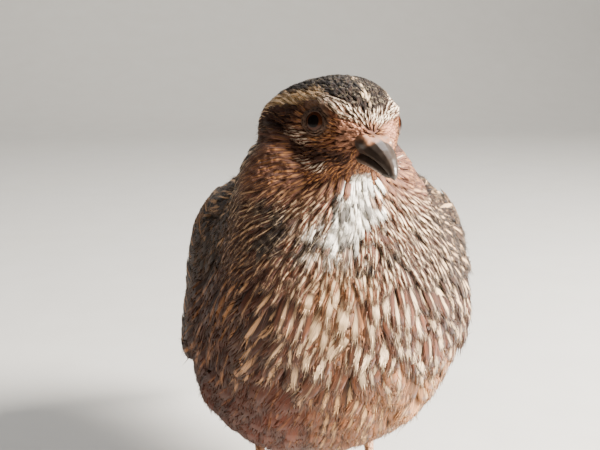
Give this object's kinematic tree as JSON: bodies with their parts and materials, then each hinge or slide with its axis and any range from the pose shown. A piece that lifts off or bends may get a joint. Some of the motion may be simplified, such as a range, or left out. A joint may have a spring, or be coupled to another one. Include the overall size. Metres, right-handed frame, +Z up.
{
  "type": "coturnix quail",
  "caption": "Life-size coturnix quail standing at rest, with a plump round body, folded wings, short drooping tail and head turned to its left.",
  "frame": {"origin": "on the floor under the bird, at the middle of its box", "axes": "+Z up, the bird faces -Y with its tail to +Y, its left side is +X"},
  "size_m": [0.0826, 0.1552, 0.1329],
  "materials": {
    "plumage": "soft matte feathers, rufous buff with cream streaks",
    "face": "short matte feathers, rufous brown",
    "wing": "smooth matte feathers, dark brown with cream bars",
    "horn": "satin horn",
    "eye": "wet gloss",
    "leg_skin": "satin scaled skin"
  },
  "bodies": {
    "root": {"torso": "plumage", "neck": "plumage", "head": "face", "bill_upper": "horn", "bill_lower": "horn", "eye_right": "eye", "eye_left": "eye", "wing_right": "wing", "wing_left": "wing", "tail": "wing", "thigh_right": "plumage", "thigh_left": "plumage", "shank_right": "leg_skin", "shank_left": "leg_skin", "toe_right_middle": "leg_skin", "toe_right_inner": "leg_skin", "toe_right_outer": "leg_skin", "toe_right_hind": "leg_skin", "toe_left_middle": "leg_skin", "toe_left_inner": "leg_skin", "toe_left_outer": "leg_skin", "toe_left_hind": "leg_skin", "claw_right_middle": "horn", "claw_right_inner": "horn", "claw_right_outer": "horn", "claw_right_hind": "horn", "claw_left_middle": "horn", "claw_left_inner": "horn", "claw_left_outer": "horn", "claw_left_hind": "horn"}
  },
  "joints": []
}
